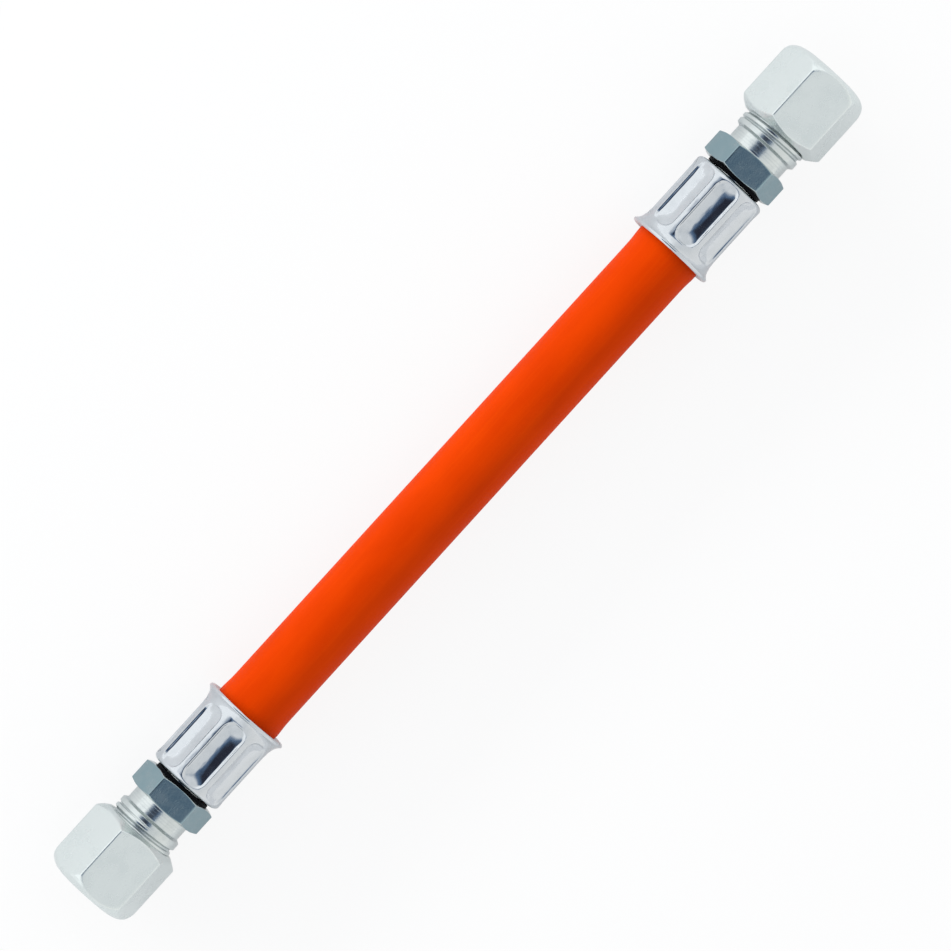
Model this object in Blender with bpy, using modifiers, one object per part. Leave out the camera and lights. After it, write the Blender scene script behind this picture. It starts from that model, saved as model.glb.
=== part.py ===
"""Flexible gas hose: an orange rubber hose with a crimped compression fitting at each end.

Metres, +Z up. The hose lies straight along X with the middle of its length at the origin. Each
fitting is built once, pointing outwards along its own +Z with Z = 0 at the lip of the ferrule, and
an empty at each end of the hose carries its pieces.
"""
import math

import bmesh
import bpy
from mathutils import Matrix

MM = 0.001

# Hose
FREE_LENGTH = 115.4 * MM       # hose that shows between the lips of the two ferrules
HOSE_BORE = 6.3 * MM
HOSE_WALL = 3.5 * MM

# Clearances
SEAT_GAP = 0.3 * MM            # between pieces that touch on the real hose
FERRULE_ROOM = 0.4 * MM        # between the hose and the ferrule where it isn't pressed
FERRULE_TO_HEX = 0.9 * MM      # dark slot between the ferrule and the hexagon

# Crimped ferrule
FERRULE_LENGTH = 17.5 * MM
FERRULE_WALL = 0.8 * MM
FERRULE_CORNER = 1.3 * MM      # outer radius where the side turns into the end wall
FLARE_REACH = 1.15 * MM        # how far the lip stands out from the side
FLARE_ANGLE = math.radians(60)
FLUTE_COUNT = 8
FLUTE_DEPTH = 0.55 * MM
FLUTE_START = 0.1 * MM         # from the foot of the flare to the flutes
FLUTE_END = 0.9 * MM           # from the flutes to the end wall
FLUTE_RAMP = 2.4 * MM          # length over which a flute sinks in at each of its ends
FLUTE_WALL = 0.75 * MM         # width of a flute's sloping side
RIDGE_WIDTH = 1.2 * MM         # unpressed metal between two flutes

# Barbed insert inside the hose
BARB_COUNT = 3
BARB_STRETCH = 0.55 * MM       # how far a barb's crest stands into the rubber
BARB_DEPTH = 0.3 * MM
BARB_WALL = 0.8 * MM           # metal between the root of the barbs and the passage
BARB_INSET = 1.0 * MM          # from the ferrule's lip to the tip of the insert
BARB_ROOT_RUN = 0.9 * MM       # plain length behind the last barb
TIP_CHAMFER = 0.3 * MM
GROOVE_RISE = 0.6 * MM         # floor of the ferrule's groove above the barbs' crests
COLLAR_RISE = 0.5 * MM         # collar that keeps the ferrule on, above the groove
COLLAR_LENGTH = 1.2 * MM

# Pipe socket and stud
PIPE_DIAMETER = 8.0 * MM
PIPE_WALL = 1.0 * MM
SOCKET_PLAY = 0.05 * MM        # all round the pipe in the stud's socket
SOCKET_DEPTH = 7.0 * MM        # from the stud's end to the pipe's stop
CONE_ANGLE = math.radians(12)  # half of the 24 degree cone
CONE_STEP = 0.95 * MM          # how far the cone's mouth opens beyond the socket
STUD_WALL = 1.95 * MM          # metal round the mouth of the cone
STUD_CHAMFER = 0.8 * MM
THREAD_LENGTH = 8.7 * MM
NECK_LENGTH = 3.6 * MM
NECK_RELIEF = 0.9 * MM         # depth of the neck below the thread's crests

# Fixed hexagon
HEX_LENGTH = 5.1 * MM
HEX_STEP = 0.95 * MM           # height of its flats above the neck
HEX_FACE = 0.91                # chamfered face circle as a share of the width across flats
HEX_SLOPE = math.radians(30)

# Union nut
THREAD_SHOWN = 2.5 * MM        # thread between the neck and the nut
NUT_WALL = 1.25 * MM           # thinnest metal, between a flat and the thread
RING_ROOM = 3.75 * MM          # from the stud's end to the nut's inner cone
NUT_LIP = 2.2 * MM             # length of the pipe hole through the nut's end
NUT_HOLE_PLAY = 0.2 * MM       # all round the pipe in the nut's hole
NUT_INNER_FACE = 0.88          # face circles as shares of the width across flats
NUT_OUTER_FACE = 0.84
NUT_SLOPE = math.radians(37)

# Cutting ring
RING_WALL = 0.9 * MM
RING_PLAY = 0.1 * MM           # all round the pipe in the ring
RING_ENTRY = 1.2 * MM          # how far the ring stands in the mouth of the cone
RING_END = 0.45 * MM           # width of the ring's back face

# Turns about the hose, measured from +Y towards +Z
FLUTE_TURN = math.radians(35.9)
HEX_TURN = math.radians(-9.35)
NUT_TURN = 0.0

# Faceting
ROUND_STEPS = 24
FERRULE_STEPS = 6 * FLUTE_COUNT
HOSE_STEPS = 4 * FLUTE_COUNT
CHAMFER_STEPS = 36
BEND_STEPS = 3

# Radii that follow from the sizes above
HOSE_RADIUS = HOSE_BORE / 2 + HOSE_WALL
FERRULE_RADIUS = HOSE_RADIUS + FERRULE_ROOM + FERRULE_WALL
CREST_RADIUS = HOSE_BORE / 2 + BARB_STRETCH
ROOT_RADIUS = CREST_RADIUS - BARB_DEPTH
INSERT_PASSAGE = ROOT_RADIUS - BARB_WALL
GROOVE_RADIUS = CREST_RADIUS + GROOVE_RISE
COLLAR_RADIUS = GROOVE_RADIUS + COLLAR_RISE
PIPE_RADIUS = PIPE_DIAMETER / 2
PIPE_PASSAGE = PIPE_RADIUS - PIPE_WALL
SOCKET_RADIUS = PIPE_RADIUS + SOCKET_PLAY
MOUTH_RADIUS = SOCKET_RADIUS + CONE_STEP
STUD_RADIUS = MOUTH_RADIUS + STUD_WALL
NECK_RADIUS = STUD_RADIUS - NECK_RELIEF
HEX_FLATS = 2 * (NECK_RADIUS + HEX_STEP)
THREAD_BORE = STUD_RADIUS + SEAT_GAP
NUT_FLATS = 2 * (THREAD_BORE + NUT_WALL)
NUT_HOLE = PIPE_RADIUS + NUT_HOLE_PLAY
RING_BORE = PIPE_RADIUS + RING_PLAY
RING_RADIUS = RING_BORE + RING_WALL

# Heights along a fitting, from the ferrule's lip outwards
LIP_EDGE = FERRULE_WALL * math.sin(FLARE_ANGLE)
FLARE_RADIUS = FLARE_REACH / (1 - math.cos(FLARE_ANGLE))
FLARE_FOOT = LIP_EDGE + FLARE_RADIUS * math.sin(FLARE_ANGLE)
FLUTE_FOOT = FLARE_FOOT + FLUTE_START
END_WALL = FERRULE_LENGTH - FERRULE_WALL
COLLAR_TOP = END_WALL - SEAT_GAP
COLLAR_FOOT = COLLAR_TOP - COLLAR_LENGTH
HOSE_END = COLLAR_FOOT - SEAT_GAP
FLUTE_TOP = END_WALL - FLUTE_END
HEX_FOOT = FERRULE_LENGTH + FERRULE_TO_HEX
HEX_TOP = HEX_FOOT + HEX_LENGTH
THREAD_FOOT = HEX_TOP + NECK_LENGTH
STUD_END = THREAD_FOOT + THREAD_LENGTH
SOCKET_STOP = STUD_END - SOCKET_DEPTH
NUT_FOOT = THREAD_FOOT + THREAD_SHOWN
NUT_CONE = STUD_END + RING_ROOM
NUT_HOLE_FOOT = NUT_CONE + THREAD_BORE - NUT_HOLE
NUT_TOP = NUT_HOLE_FOOT + NUT_LIP
OVERSHOOT = 1.0 * MM           # how far a cutter passes the face that it opens
CORNER_SPARE = 0.5 * MM        # how far a chamfering shape stands clear of a hexagon's corners


def make_material(name, colour, roughness, metallic):
    """A plain Principled material."""
    material = bpy.data.materials.new(name)
    material.use_nodes = True
    shader = material.node_tree.nodes["Principled BSDF"]
    shader.inputs["Base Color"].default_value = (*colour, 1)
    shader.inputs["Roughness"].default_value = roughness
    shader.inputs["Metallic"].default_value = metallic
    material.diffuse_color = (*colour, 1)
    return material


def add_part(name, mesh, material, parent=None, turn=0.0):
    """Put a mesh in the hose's collection, carried by an empty and turned about its axis."""
    part = bpy.data.objects.new(name, mesh)
    part.data.materials.append(material)
    part.parent = parent
    part.rotation_euler = (0, 0, turn)
    parts.objects.link(part)
    mesh.shade_smooth()
    mesh.set_sharp_from_angle(angle=math.radians(30))
    return part


def add_cutter(name, mesh, parent=None, turn=0.0):
    """Put a mesh among the cutters, which only shape other pieces."""
    cutter = bpy.data.objects.new(name, mesh)
    cutter.parent = parent
    cutter.rotation_euler = (0, 0, turn)
    cutter.hide_render = True
    cutter.display_type = "WIRE"
    cutters.objects.link(cutter)
    return cutter


def turned_mesh(name, outline, steps, closed):
    """Turn an outline of (radius, height) points about Z; it runs down its outer side."""
    corners = [(radius, 0, height) for radius, height in outline]
    edges = [(i, i + 1) for i in range(len(corners) - 1)]
    if closed:
        edges.append((len(corners) - 1, 0))
    profile = bpy.data.meshes.new(name + "_profile")
    profile.from_pydata(corners, edges, [])
    lathe = bpy.data.objects.new(name + "_profile", profile)
    cutters.objects.link(lathe)
    screw = lathe.modifiers.new("turn", "SCREW")
    screw.steps = steps
    screw.render_steps = steps
    screw.use_merge_vertices = True
    screw.merge_threshold = 0.00001
    mesh = bpy.data.meshes.new_from_object(lathe.evaluated_get(bpy.context.evaluated_depsgraph_get()))
    mesh.name = name
    bpy.data.objects.remove(lathe)
    bpy.data.meshes.remove(profile)
    return mesh


def hexagon_mesh(name, flats, foot, top):
    """A hexagonal prism with one corner on +X."""
    shell = bmesh.new()
    radius = flats / math.sqrt(3)
    turn = Matrix.Rotation(math.radians(30), 4, "Z")
    place = Matrix.Translation((0, 0, (foot + top) / 2)) @ turn
    bmesh.ops.create_cone(shell, cap_ends=True, segments=6, radius1=radius, radius2=radius,
                          depth=top - foot, matrix=place)
    mesh = bpy.data.meshes.new(name)
    shell.to_mesh(mesh)
    shell.free()
    return mesh


def chamfer_mesh(name, flats, foot, top, foot_face, top_face, slope):
    """The turned shape that takes the corners off both ends of a hexagon."""
    reach = flats / math.sqrt(3) + CORNER_SPARE
    inner, outer = flats / 2 * foot_face, flats / 2 * top_face
    outline = [
        (0, top),
        (outer, top),
        (reach, top - (reach - outer) * math.tan(slope)),
        (reach, foot + (reach - inner) * math.tan(slope)),
        (inner, foot),
        (0, foot),
    ]
    return turned_mesh(name, outline, CHAMFER_STEPS, False)


def combine(part, operation, other):
    """Add, cut or intersect another solid."""
    modifier = part.modifiers.new(operation.lower(), "BOOLEAN")
    modifier.operation = operation
    modifier.object = other
    modifier.solver = "EXACT"


def flute_depth(height, angle):
    """How deep the ferrule is pressed at a height and at an angle from a flute's centre line."""
    pitch = 2 * math.pi / FLUTE_COUNT
    across = abs((angle + pitch / 2) % pitch - pitch / 2) * FERRULE_RADIUS
    half_width = (pitch * FERRULE_RADIUS - RIDGE_WIDTH) / 2
    along = min(height - FLUTE_FOOT, FLUTE_TOP - height) / FLUTE_RAMP
    sunk = min(max(along, 0), 1)
    narrowed = half_width * math.sqrt(1 - (1 - sunk) ** 2)
    side = min(max((narrowed - across) / FLUTE_WALL, 0), 1)
    return FLUTE_DEPTH * sunk * side


def flute_heights():
    """Heights at which the pressed flutes need a row of points."""
    start = [FLUTE_FOOT + FLUTE_RAMP * share for share in (0, 0.35, 1)]
    end = [FLUTE_TOP - FLUTE_RAMP * share for share in (1, 0.35, 0)]
    return start + end


def press(mesh, depth_at):
    """Move each point of a turned mesh towards the axis by a depth that its place gives."""
    for vertex in mesh.vertices:
        x, y, z = vertex.co
        radius = math.hypot(x, y)
        pressed = (radius - depth_at(radius, z, math.atan2(y, x))) / radius
        vertex.co = (x * pressed, y * pressed, z)


def make_ferrule(name, carrier, turn):
    """Pressed steel sleeve: flared lip, eight long flutes, rounded shoulder and an end wall."""
    shoulder = FERRULE_LENGTH - FERRULE_CORNER
    outline = [(GROOVE_RADIUS + SEAT_GAP, FERRULE_LENGTH)]
    for step in range(BEND_STEPS + 1):
        bend = math.pi / 2 * (1 - step / BEND_STEPS)
        outline.append((FERRULE_RADIUS - FERRULE_CORNER * (1 - math.cos(bend)),
                        shoulder + FERRULE_CORNER * math.sin(bend)))
    outline += [(FERRULE_RADIUS, height) for height in reversed(flute_heights())]
    for step in range(BEND_STEPS + 1):
        bend = FLARE_ANGLE * step / BEND_STEPS
        outline.append((FERRULE_RADIUS + FLARE_RADIUS * (1 - math.cos(bend)),
                        FLARE_FOOT - FLARE_RADIUS * math.sin(bend)))
    mesh = turned_mesh(name, outline, FERRULE_STEPS, False)
    press(mesh, lambda radius, height, angle: flute_depth(height, angle))
    ferrule = add_part(name, mesh, bright_steel, carrier, turn)
    wall = ferrule.modifiers.new("wall", "SOLIDIFY")
    wall.thickness = FERRULE_WALL
    wall.offset = -1
    wall.use_even_offset = True
    return ferrule


def barb_heights():
    """Heights of the barbs' steep faces, from the tip towards the collar."""
    first = BARB_INSET + TIP_CHAMFER
    pitch = (COLLAR_FOOT - BARB_ROOT_RUN - first) / BARB_COUNT
    return [first + pitch * (i + 1) for i in range(BARB_COUNT)]


def make_tail(name, carrier, turn):
    """Turned steel hose tail: barbed insert, ferrule groove, hexagon, neck and threaded stud."""
    stud_chamfer = min(STUD_CHAMFER, STUD_WALL / 2)
    thread_run_in = NECK_RELIEF * 0.7
    outline = [
        (0, STUD_END),
        (STUD_RADIUS - stud_chamfer, STUD_END),
        (STUD_RADIUS, STUD_END - stud_chamfer),
        (STUD_RADIUS, THREAD_FOOT),
        (NECK_RADIUS, THREAD_FOOT - thread_run_in),
        (NECK_RADIUS, FERRULE_LENGTH + SEAT_GAP),
        (GROOVE_RADIUS, FERRULE_LENGTH + SEAT_GAP),
        (GROOVE_RADIUS, COLLAR_TOP),
        (COLLAR_RADIUS, COLLAR_TOP),
        (COLLAR_RADIUS, COLLAR_FOOT),
        (ROOT_RADIUS, COLLAR_FOOT),
    ]
    for height in reversed(barb_heights()):
        outline.append((ROOT_RADIUS, height))
        outline.append((CREST_RADIUS, height))
    outline.append((ROOT_RADIUS, BARB_INSET + TIP_CHAMFER))
    outline.append((ROOT_RADIUS - TIP_CHAMFER, BARB_INSET))
    outline.append((0, BARB_INSET))
    tail = add_part(name, turned_mesh(name, outline, ROUND_STEPS, False), zinc_smooth, carrier, turn)

    hexagon = add_cutter(name + "_hexagon", hexagon_mesh("hexagon", HEX_FLATS, HEX_FOOT, HEX_TOP),
                         carrier, turn)
    chamfer = chamfer_mesh("chamfer", HEX_FLATS, HEX_FOOT, HEX_TOP, HEX_FACE, HEX_FACE, HEX_SLOPE)
    combine(hexagon, "INTERSECT", add_cutter(name + "_chamfer", chamfer, carrier, turn))
    combine(tail, "UNION", hexagon)

    cone_depth = CONE_STEP / math.tan(CONE_ANGLE)
    flare = OVERSHOOT * math.tan(CONE_ANGLE)
    middle = (HEX_FOOT + HEX_TOP) / 2
    bore = [
        (0, STUD_END + OVERSHOOT),
        (MOUTH_RADIUS + flare, STUD_END + OVERSHOOT),
        (SOCKET_RADIUS, STUD_END - cone_depth),
        (SOCKET_RADIUS, SOCKET_STOP),
        (PIPE_PASSAGE, SOCKET_STOP),
        (PIPE_PASSAGE, middle),
        (INSERT_PASSAGE, middle - abs(PIPE_PASSAGE - INSERT_PASSAGE)),
        (INSERT_PASSAGE, BARB_INSET - OVERSHOOT),
        (0, BARB_INSET - OVERSHOOT),
    ]
    combine(tail, "DIFFERENCE", add_cutter(
        name + "_bore", turned_mesh("bore", bore, ROUND_STEPS, False), carrier, turn))
    return tail


def make_ring(name, carrier):
    """Hardened cutting ring: tapered nose in the stud's cone, 45 degree back under the nut."""
    nose = STUD_END - RING_ENTRY
    nose_radius = MOUTH_RADIUS - RING_ENTRY * math.tan(CONE_ANGLE) - SEAT_GAP / math.cos(CONE_ANGLE)
    taper = (RING_RADIUS - nose_radius) / math.tan(CONE_ANGLE)
    back = NUT_CONE + THREAD_BORE - RING_RADIUS - SEAT_GAP * math.sqrt(2)
    slope = RING_WALL - RING_END
    outline = [
        (RING_BORE, back + slope),
        (RING_RADIUS - slope, back + slope),
        (RING_RADIUS, back),
        (RING_RADIUS, nose + taper),
        (nose_radius, nose),
        (RING_BORE, nose),
    ]
    return add_part(name, turned_mesh(name, outline, ROUND_STEPS, True), ring_steel, carrier)


def make_nut(name, carrier, turn):
    """Zinc-plated union nut with its thread bore, inner cone and pipe hole."""
    nut = add_part(name, hexagon_mesh(name, NUT_FLATS, NUT_FOOT, NUT_TOP), zinc_satin, carrier, turn)
    chamfer = chamfer_mesh("chamfer", NUT_FLATS, NUT_FOOT, NUT_TOP,
                           NUT_INNER_FACE, NUT_OUTER_FACE, NUT_SLOPE)
    combine(nut, "INTERSECT", add_cutter(name + "_chamfer", chamfer, carrier, turn))
    bore = [
        (0, NUT_TOP + OVERSHOOT),
        (NUT_HOLE, NUT_TOP + OVERSHOOT),
        (NUT_HOLE, NUT_HOLE_FOOT),
        (THREAD_BORE, NUT_CONE),
        (THREAD_BORE, NUT_FOOT - OVERSHOOT),
        (0, NUT_FOOT - OVERSHOOT),
    ]
    combine(nut, "DIFFERENCE", add_cutter(
        name + "_bore", turned_mesh("bore", bore, ROUND_STEPS, False), carrier, turn))
    return nut


def half_hose_bore():
    """The rubber's inner outline over one insert, from the free hose out to the hose's end."""
    outline = [(HOSE_BORE / 2, BARB_INSET - SEAT_GAP - BARB_STRETCH)]
    outline.append((ROOT_RADIUS + SEAT_GAP, BARB_INSET - SEAT_GAP))
    heights = barb_heights()
    for height in heights[:-1]:
        valley = height + 2 * SEAT_GAP
        climb = (CREST_RADIUS - ROOT_RADIUS) * (valley - height) / (heights[1] - heights[0])
        outline.append((CREST_RADIUS + SEAT_GAP, height + SEAT_GAP))
        outline.append((ROOT_RADIUS + SEAT_GAP + climb, valley))
    outline.append((CREST_RADIUS + SEAT_GAP, heights[-1] + SEAT_GAP))
    outline.append((CREST_RADIUS + SEAT_GAP, HOSE_END))
    return outline


def make_hose():
    """Rubber hose, one bonded piece, squeezed under the flutes and stretched over the barbs."""
    half = FREE_LENGTH / 2
    outer = [(HOSE_RADIUS, height) for height in flute_heights() if height < HOSE_END]
    outer.append((HOSE_RADIUS, HOSE_END))
    inner = half_hose_bore()
    outline = [(radius, half + height) for radius, height in reversed(outer)]
    outline += [(radius, -half - height) for radius, height in outer]
    outline += [(radius, -half - height) for radius, height in reversed(inner)]
    outline += [(radius, half + height) for radius, height in inner]
    mesh = turned_mesh("hose", outline, HOSE_STEPS, True)

    def squeeze(radius, height, angle):
        if radius < HOSE_RADIUS - FERRULE_WALL:
            return 0
        inner_wall = FERRULE_RADIUS - FERRULE_WALL - flute_depth(abs(height) - half, angle)
        return max(radius - (inner_wall - SEAT_GAP), 0)

    press(mesh, squeeze)
    hose = add_part("hose", mesh, orange_rubber)
    hose.rotation_mode = "ZYX"
    hose.rotation_euler = (0, math.pi / 2, FLUTE_TURN + math.pi / 2)
    return hose


def make_fitting(end, side):
    """One complete end, carried by an empty at the ferrule's lip; side is +1 at +X and -1 at -X."""
    carrier = bpy.data.objects.new(end + "_fitting", None)
    carrier.location = (side * FREE_LENGTH / 2, 0, 0)
    carrier.rotation_euler = (0, side * math.pi / 2, 0)
    parts.objects.link(carrier)

    def local(turn):
        return math.pi / 2 + side * turn

    make_ferrule(end + "_ferrule", carrier, local(FLUTE_TURN))
    make_tail(end + "_hose_tail", carrier, local(HEX_TURN))
    make_ring(end + "_cutting_ring", carrier)
    make_nut(end + "_union_nut", carrier, local(NUT_TURN))


for old in list(bpy.data.objects):
    bpy.data.objects.remove(old, do_unlink=True)

parts = bpy.data.collections.new("flexible_hose")
cutters = bpy.data.collections.new("cutters")
bpy.context.scene.collection.children.link(parts)
bpy.context.scene.collection.children.link(cutters)

orange_rubber = make_material("orange_rubber", (0.66, 0.07, 0.005), 0.42, 0.0)
bright_steel = make_material("bright_steel", (0.72, 0.74, 0.75), 0.16, 1.0)
zinc_smooth = make_material("zinc_smooth", (0.6, 0.64, 0.66), 0.24, 1.0)
zinc_satin = make_material("zinc_satin", (0.68, 0.71, 0.7), 0.36, 1.0)
ring_steel = make_material("ring_steel", (0.5, 0.51, 0.52), 0.3, 1.0)

make_hose()
make_fitting("right", 1)
make_fitting("left", -1)
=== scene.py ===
import math

import bpy
import numpy as np
from mathutils import Matrix, Vector


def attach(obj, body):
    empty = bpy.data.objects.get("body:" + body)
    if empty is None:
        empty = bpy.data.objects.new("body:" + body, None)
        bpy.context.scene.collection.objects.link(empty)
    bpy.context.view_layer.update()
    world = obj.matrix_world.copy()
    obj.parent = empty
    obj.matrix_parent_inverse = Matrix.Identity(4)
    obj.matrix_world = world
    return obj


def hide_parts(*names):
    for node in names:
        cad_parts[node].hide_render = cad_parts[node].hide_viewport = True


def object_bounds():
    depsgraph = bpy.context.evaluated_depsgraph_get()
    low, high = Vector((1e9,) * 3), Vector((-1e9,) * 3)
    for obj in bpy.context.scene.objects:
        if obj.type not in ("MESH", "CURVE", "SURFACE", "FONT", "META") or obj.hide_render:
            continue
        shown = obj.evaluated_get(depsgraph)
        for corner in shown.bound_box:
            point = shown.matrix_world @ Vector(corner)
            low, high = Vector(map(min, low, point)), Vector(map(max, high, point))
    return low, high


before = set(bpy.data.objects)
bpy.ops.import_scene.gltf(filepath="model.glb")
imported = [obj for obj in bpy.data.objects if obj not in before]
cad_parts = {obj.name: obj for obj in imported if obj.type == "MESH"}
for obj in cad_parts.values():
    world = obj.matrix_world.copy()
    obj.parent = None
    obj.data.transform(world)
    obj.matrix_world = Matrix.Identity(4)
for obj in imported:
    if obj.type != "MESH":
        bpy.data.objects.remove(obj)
cad_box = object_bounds()

# Camera. The hose was photographed from almost straight above and a little towards +Y, with its
# right-hand end turned up to the picture's upper right corner. The lens is long, so that both
# nuts show nearly the same side.
MM = 0.001
CAMERA_RISE = math.radians(75.9)
HOSE_SLANT = math.radians(47.7)
CAMERA_DISTANCE = 1.2
PIXELS_PER_METRE = 5405
PICTURE_WIDTH = 951
OFF_CENTRE = (17.5, 6.9)       # pixels from the middle of the hose to the middle of the picture

towards = Vector((0, math.cos(CAMERA_RISE), math.sin(CAMERA_RISE)))
across = Vector((0, math.sin(CAMERA_RISE), -math.cos(CAMERA_RISE)))
along = Vector((1, 0, 0))
picture_right = along * math.cos(HOSE_SLANT) - across * math.sin(HOSE_SLANT)
picture_up = along * math.sin(HOSE_SLANT) + across * math.cos(HOSE_SLANT)
aim = (picture_right * OFF_CENTRE[0] + picture_up * OFF_CENTRE[1]) / PIXELS_PER_METRE
place = Matrix((picture_right, picture_up, towards)).transposed().to_4x4()
place.translation = aim + towards * CAMERA_DISTANCE
camera = bpy.data.objects.new("camera", bpy.data.cameras.new("camera"))
camera.data.sensor_width = 36
camera.data.lens = 36 * CAMERA_DISTANCE * PIXELS_PER_METRE / PICTURE_WIDTH
camera.data.clip_start = 0.05
camera.data.clip_end = 20
camera.matrix_world = place
bpy.context.scene.collection.objects.link(camera)
bpy.context.scene.camera = camera

# Hose. A smooth extruded tube of orange gas rubber, 13.3 mm outside. It is pushed over the barbed
# insert at each end, and the ferrule presses eight long flats into it.
HALF_FREE = 57.7               # from the middle of the hose to the lip of a ferrule, all in mm
INSERTED = 14.9                # how far the hose reaches into a ferrule
HOSE_RADIUS = 6.65
HOSE_BORE_RADIUS = 3.15
HOSE_COLUMNS = 288
LIP_SWELL = 0.2                # how far the rubber swells out in front of a ferrule
LIP_SWELL_BEFORE = 0.3         # from the top of the swell to the lip
LIP_SWELL_LENGTH = 1.9
FERRULE_RADIUS = 7.85
FERRULE_WALL = 0.8
FLUTE_PITCH = math.radians(45)
FLUTE_TURN = math.radians(35.9)
FLUTE_DEPTH = 0.5              # down its steep side
FLUTE_HOLLOW = 0.6             # how much deeper the middle of its floor is
FLUTE_FROM = 2.5               # stations are measured from the ferrule's lip outwards
FLUTE_TO = 16.8
FLUTE_HALF_WIDTH = 2.5
FLUTE_CORNER = 2.1
FLUTE_SIDE = 0.24              # how wide the steep side is
FLUTE_RUN_IN = 3.6             # over which a flute sinks to its full depth, at the lip's end
FLUTE_RUN_OUT = 3.4
FLUTE_END_SHARE = 0.35         # of the steep side's height that is there at once at the ends
INSERT_FOOT = 1.3
COLLAR_FOOT = 15.2
BARB_TAIL = 0.9                # plain length behind the last barb
BORE_ON_ROOTS = 3.7            # radius of the hose's bore, stretched by the insert
BORE_ON_CRESTS = 4.0
TOUCH_GAP = 0.3                # between pieces that touch on the real hose


def ease(share):
    """Smooth step: 0 below 0, 1 above 1, and three squares less two cubes of the share between."""
    share = np.clip(share, 0, 1)
    return share * share * (3 - 2 * share)


def rounded_ramp(share, soft=0.15):
    """A straight ramp from 0 to 1 whose two ends are rounded: the difference of two logarithms of
    one plus an exponential, one at each end of the ramp."""
    return soft * (np.logaddexp(0, share / soft) - np.logaddexp(0, (share - 1) / soft))


def flute_press(station, angle):
    """How deep a flute is pressed. The flute is a box with round corners on the unrolled side; the
    depth eases in with the distance inside that box, its floor is hollow by a parabola across,
    and it sinks further away from its two ends by a square that starts steep."""
    sideways = np.abs((angle + FLUTE_PITCH / 2) % FLUTE_PITCH - FLUTE_PITCH / 2) * FERRULE_RADIUS
    middle, half = (FLUTE_FROM + FLUTE_TO) / 2, (FLUTE_TO - FLUTE_FROM) / 2
    past_along = np.abs(station - middle) - (half - FLUTE_CORNER)
    past_side = sideways - (FLUTE_HALF_WIDTH - FLUTE_CORNER)
    inside = FLUTE_CORNER - np.hypot(np.maximum(past_along, 0), np.maximum(past_side, 0)) \
        - np.minimum(np.maximum(past_along, past_side), 0)
    from_end = np.minimum((station - FLUTE_FROM) / FLUTE_RUN_IN, (FLUTE_TO - station) / FLUTE_RUN_OUT)
    sunk = 1 - (1 - np.clip(from_end, 0, 1)) ** 2
    hollow = FLUTE_HOLLOW * np.clip(1 - (sideways / (FLUTE_HALF_WIDTH - FLUTE_SIDE)) ** 2, 0, 1) * sunk
    steep = FLUTE_DEPTH * rounded_ramp(inside / FLUTE_SIDE)
    return steep * (FLUTE_END_SHARE + (1 - FLUTE_END_SHARE) * sunk) + hollow


def trace_outline(corners):
    """Turn corners of (station, radius, fillet, step) into a closed outline: each corner becomes an
    arc that touches both of its sides, and the straight run after it is cut into equal steps."""
    points = []
    count = len(corners)
    for i in range(count):
        before, here, after = (np.array(corners[(i + k) % count][:2]) for k in (-1, 0, 1))
        arrive, leave = here - before, after - here
        reach = min(np.linalg.norm(arrive), np.linalg.norm(leave)) * 0.48
        arrive, leave = arrive / np.linalg.norm(arrive), leave / np.linalg.norm(leave)
        bend = math.acos(max(-1.0, min(1.0, float(arrive @ leave))))
        trim = min(corners[i][2] * math.tan(bend / 2), reach)
        steps = max(2, math.ceil(bend / math.radians(15)))
        share = np.linspace(0, 1, steps + 1)[:, None]
        start, end = here - arrive * trim, here + leave * trim
        arc = start * (1 - share) ** 2 + 2 * here * share * (1 - share) + end * share ** 2
        points.append(arc if trim > 1e-6 else here[None, :])
    outline = []
    for i in range(count):
        outline.append(points[i])
        start, end = points[i][-1], points[(i + 1) % count][0]
        cuts = max(1, math.ceil(np.linalg.norm(end - start) / corners[i][3]))
        outline.append(start + (end - start) * (np.arange(1, cuts) / cuts)[:, None])
    return np.concatenate(outline)


def wrapped_skin(name, x, radius, angle, marks=None):
    """A closed skin round the hose's axis, rows along the outline and columns round the axis: each
    point is (x, radius times the cosine of its angle, radius times its sine). Rows and columns
    both join their last to their first. Marks are named values from 0 to 1, one at each point."""
    rows, columns = np.broadcast_shapes(x.shape, radius.shape, angle.shape)
    points = np.stack(np.broadcast_arrays(x, radius * np.cos(angle), radius * np.sin(angle)), axis=-1)
    row, column = np.meshgrid(np.arange(rows), np.arange(columns), indexing="ij")
    next_row, next_column = (row + 1) % rows, (column + 1) % columns
    faces = np.stack([row * columns + column, row * columns + next_column,
                      next_row * columns + next_column, next_row * columns + column], axis=-1)
    mesh = bpy.data.meshes.new(name)
    mesh.vertices.add(rows * columns)
    mesh.vertices.foreach_set("co", (points * MM).astype(np.float32).ravel())
    mesh.loops.add(faces.size)
    mesh.loops.foreach_set("vertex_index", faces.astype(np.int32).ravel())
    mesh.polygons.add(rows * columns)
    mesh.polygons.foreach_set("loop_start", np.arange(0, faces.size, 4, dtype=np.int32))
    for mark, values in (marks or {}).items():
        attribute = mesh.attributes.new(mark, "FLOAT", "POINT")
        values = np.broadcast_to(values, (rows, columns))
        attribute.data.foreach_set("value", values.astype(np.float32).ravel())
    mesh.update(calc_edges=True)
    mesh.validate()
    mesh.shade_smooth()
    piece = bpy.data.objects.new(name, mesh)
    bpy.context.scene.collection.objects.link(piece)
    return piece


def fill(tree, kind, inputs, **settings):
    """Add a shader node, with each input set to a value or linked to another node's output."""
    node = tree.nodes.new(kind)
    for key, value in settings.items():
        setattr(node, key, value)
    for key, value in inputs.items():
        if isinstance(value, bpy.types.NodeSocket):
            tree.links.new(value, node.inputs[key])
        else:
            node.inputs[key].default_value = value
    return node


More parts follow.
